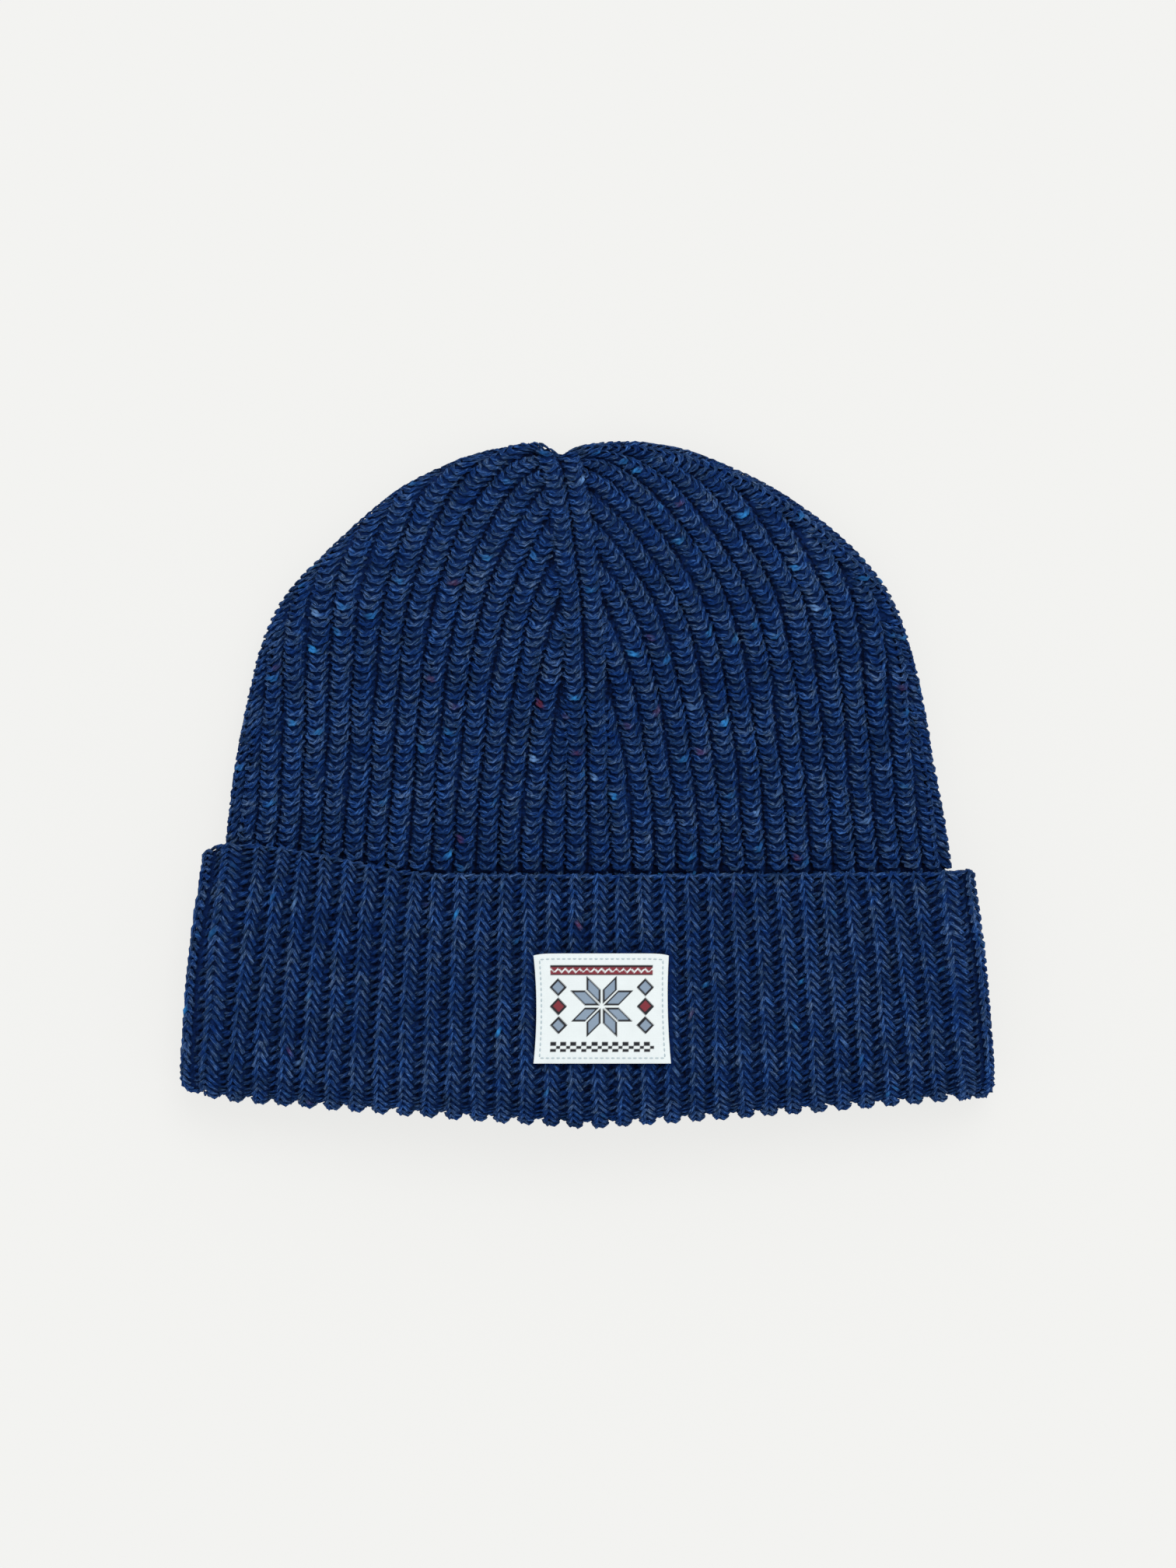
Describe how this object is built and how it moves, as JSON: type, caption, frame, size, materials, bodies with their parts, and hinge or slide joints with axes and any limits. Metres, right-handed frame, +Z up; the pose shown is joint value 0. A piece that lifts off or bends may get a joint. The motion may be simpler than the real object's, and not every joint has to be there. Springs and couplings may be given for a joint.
{
  "type": "watch cap",
  "caption": "Ribbed knit watch cap lying flat, crown gathered with darts, open head hollow, deep turned-up cuff with a small sewn woven label.",
  "frame": {"origin": "middle of the bounding box's bottom, on the surface that the cap lies on", "axes": "+X from the cap's left to its right, +Y from the turned cuff's fold to the gathered crown, +Z up out of the surface; the head opening faces -Y"},
  "size_m": [0.2258, 0.189, 0.0347],
  "materials": {
    "crown_knit": "heathered navy wool knit, ribbed, matt",
    "cuff_knit": "the reverse of the same navy knit, matt",
    "woven_label": "fine white woven cotton, matt"
  },
  "bodies": {
    "root": {"crown": "crown_knit", "cuff": "cuff_knit", "label": "woven_label"}
  },
  "joints": []
}
